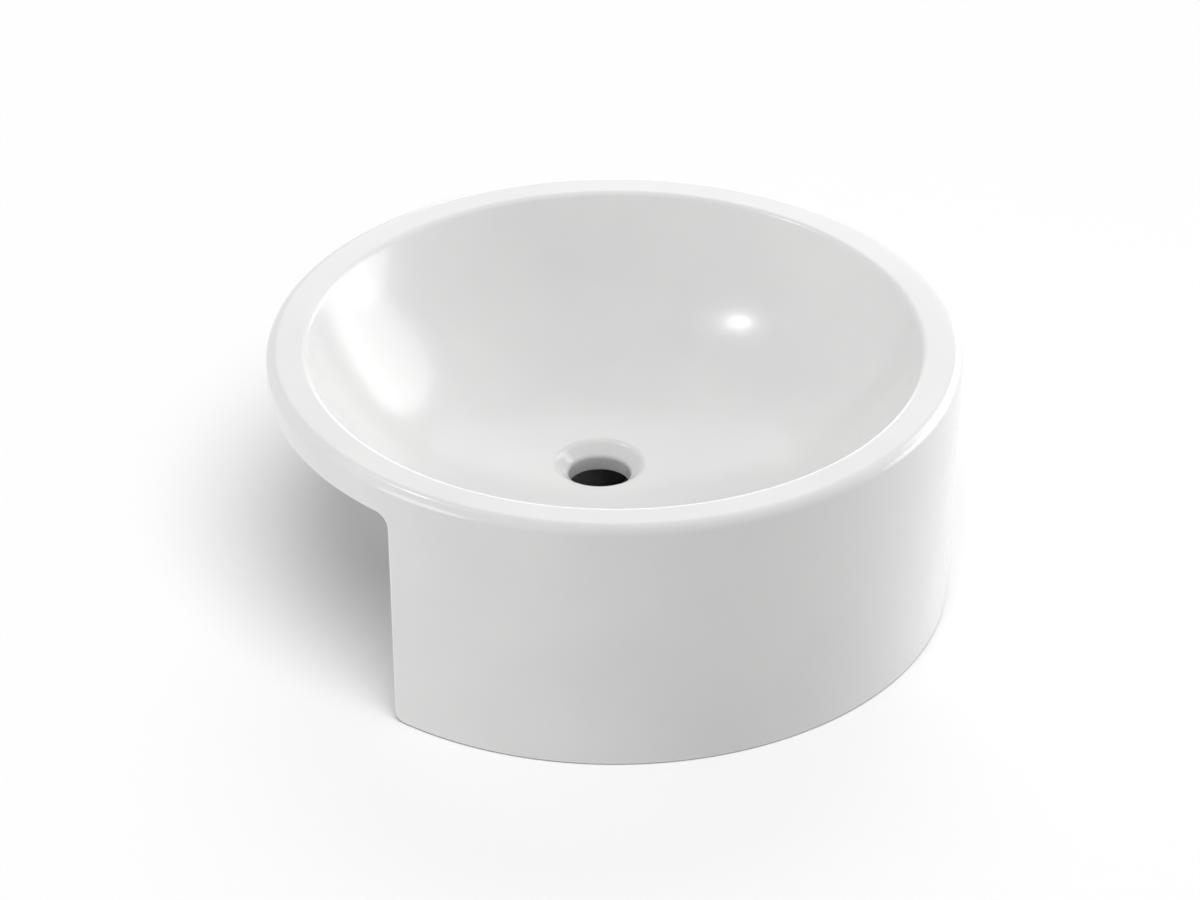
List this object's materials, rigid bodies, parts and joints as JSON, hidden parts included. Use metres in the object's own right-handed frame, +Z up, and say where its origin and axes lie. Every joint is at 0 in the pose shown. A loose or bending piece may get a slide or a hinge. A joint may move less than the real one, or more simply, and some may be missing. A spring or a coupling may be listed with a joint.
{
  "type": "semi recessed basin",
  "caption": "Round white ceramic basin whose drum stands proud of a worktop at the front, with a flat rim all round, a deep bowl with a waste recess and clamps under its back rim.",
  "frame": {"origin": "on the axis of the round rim, at the foot of the drum", "axes": "+Z up; -Y to the front, where the drum stands before the worktop; +Y to the back, where the rim lies on the worktop"},
  "size_m": [0.5, 0.5, 0.2],
  "materials": {
    "white_glaze": "glossy white glaze",
    "nylon": "moulded nylon",
    "zinc_steel": "zinc plated",
    "black_rubber": "moulded rubber"
  },
  "bodies": {
    "basin": {"ceramic_body": "white_glaze", "plug_left": "nylon", "plug_right": "nylon", "stud_left": "zinc_steel", "stud_right": "zinc_steel"},
    "washer_body_left": {"washer_left": "zinc_steel"},
    "clamp_left": {"clamp_bracket_left": "zinc_steel", "clamp_pad_left": "black_rubber"},
    "nut_left": {"wing_nut_left": "zinc_steel"},
    "washer_body_right": {"washer_right": "zinc_steel"},
    "clamp_right": {"clamp_bracket_right": "zinc_steel", "clamp_pad_right": "black_rubber"},
    "nut_right": {"wing_nut_right": "zinc_steel"}
  },
  "joints": [
    {"name": "clamp_height_left", "type": "slide", "parent": "basin", "child": "washer_body_left", "axis": [0, 0, 1], "range_m": [-0.008, 0.006]},
    {"name": "clamp_swing_left", "type": "hinge", "parent": "washer_body_left", "child": "clamp_left", "pos_m": [-0.09765, 0.18365, 0.1285], "axis": [0, 0, 1], "range_deg": [0, 180]},
    {"name": "nut_spin_left", "type": "hinge", "parent": "washer_body_left", "child": "nut_left", "pos_m": [-0.09765, 0.18365, 0.1213], "axis": [0, 0, 1], "range_deg": [-2881, 2161]},
    {"name": "clamp_height_right", "type": "slide", "parent": "basin", "child": "washer_body_right", "axis": [0, 0, 1], "range_m": [-0.008, 0.006]},
    {"name": "clamp_swing_right", "type": "hinge", "parent": "washer_body_right", "child": "clamp_right", "pos_m": [0.09765, 0.18365, 0.1285], "axis": [0, 0, 1], "range_deg": [-180, 0]},
    {"name": "nut_spin_right", "type": "hinge", "parent": "washer_body_right", "child": "nut_right", "pos_m": [0.09765, 0.18365, 0.1213], "axis": [0, 0, 1], "range_deg": [-2881, 2161]}
  ],
  "couplings": [
    {"joint": "nut_spin_left", "follows": "clamp_height_left", "rad_per_m": 6283.2},
    {"joint": "nut_spin_right", "follows": "clamp_height_right", "rad_per_m": 6283.2}
  ]
}
